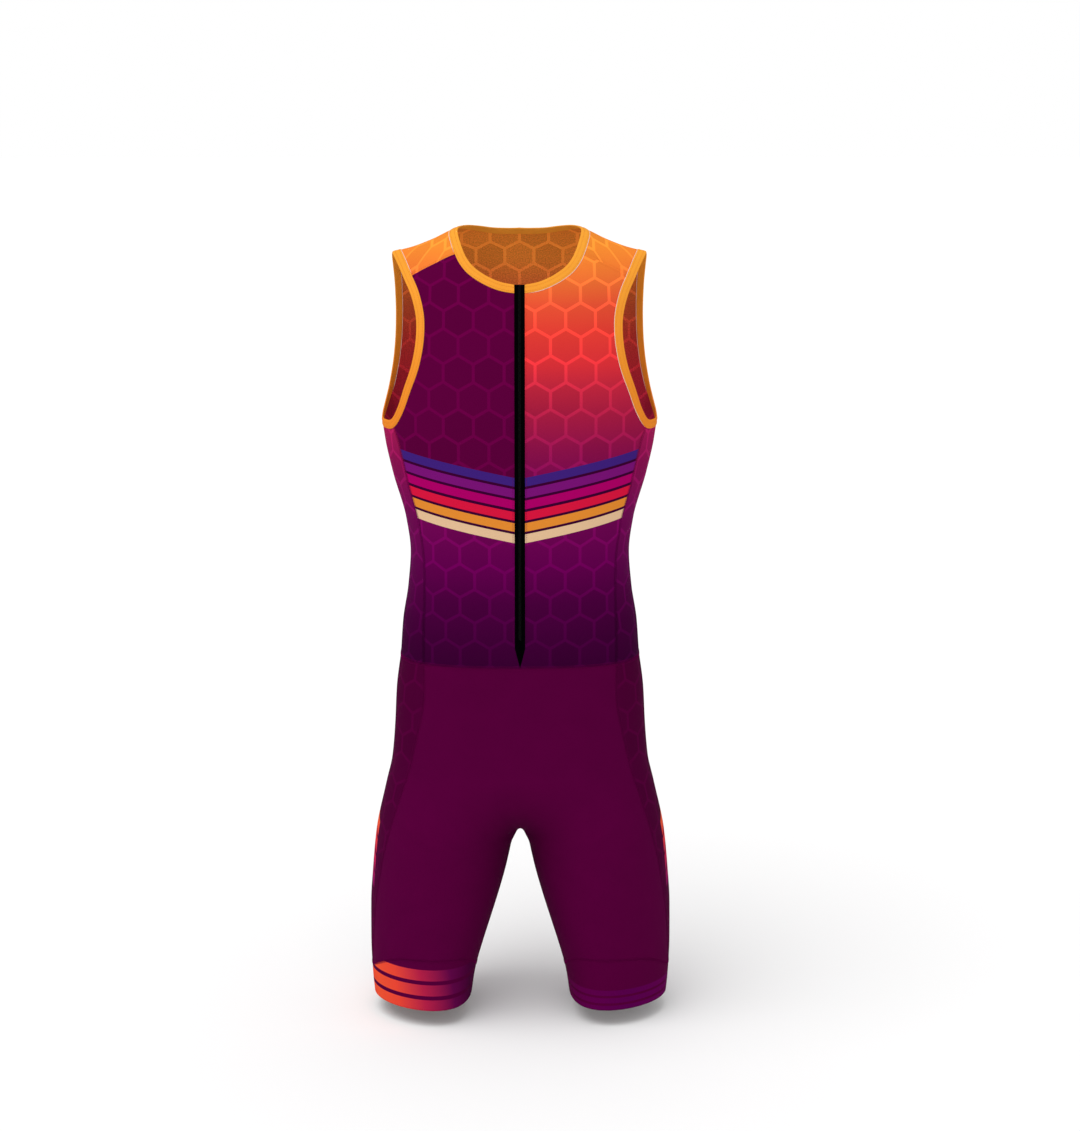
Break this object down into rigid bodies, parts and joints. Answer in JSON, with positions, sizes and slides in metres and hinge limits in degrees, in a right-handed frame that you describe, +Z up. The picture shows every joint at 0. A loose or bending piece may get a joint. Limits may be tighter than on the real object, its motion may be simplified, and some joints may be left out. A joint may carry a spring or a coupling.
{
  "type": "triathlon suit",
  "caption": "Sleeveless one-piece triathlon suit in worn form, with a front zip, bound neck and armholes, set-in side panels and mid-thigh shorts with shaped cuffs.",
  "frame": {"origin": "midway between the two high shoulder points at the neck, where the shoulders of the wearer hold the suit", "axes": "+Z up along the body, -Y towards the front of the suit, +X towards the wearer's left"},
  "size_m": [0.356, 0.2301, 0.9055],
  "materials": {
    "front_left": "smooth matt stretch knit, orange at the shoulder fading through red and magenta to dark purple",
    "front_right": "smooth matt stretch knit, dark plum with bright chevron bands",
    "back": "smooth matt stretch knit, orange shoulders fading to purple",
    "side_panels": "smooth matt stretch knit, magenta to dark purple",
    "zip": "black woven zip tape",
    "bands": "smooth elastic binding, light orange",
    "shorts": "smooth matt stretch knit, dark plum",
    "shorts_sides": "smooth matt stretch knit, dark plum with a tone-on-tone pattern",
    "cuff_left": "smooth matt elastic cuff, plum with violet bands",
    "cuff_right": "smooth matt elastic cuff, plum with orange to magenta bands"
  },
  "bodies": {
    "root": {"front_left": "front_left", "front_right": "front_right", "back": "back", "side_left": "side_panels", "side_right": "side_panels", "zip_tape_left": "zip", "zip_tape_right": "zip", "neck_band": "bands", "armhole_band_left": "bands", "armhole_band_right": "bands", "shorts_front": "shorts", "shorts_back": "shorts", "shorts_side_left": "shorts_sides", "shorts_side_right": "shorts_sides", "cuff_left": "cuff_left", "cuff_right": "cuff_right"}
  },
  "joints": []
}
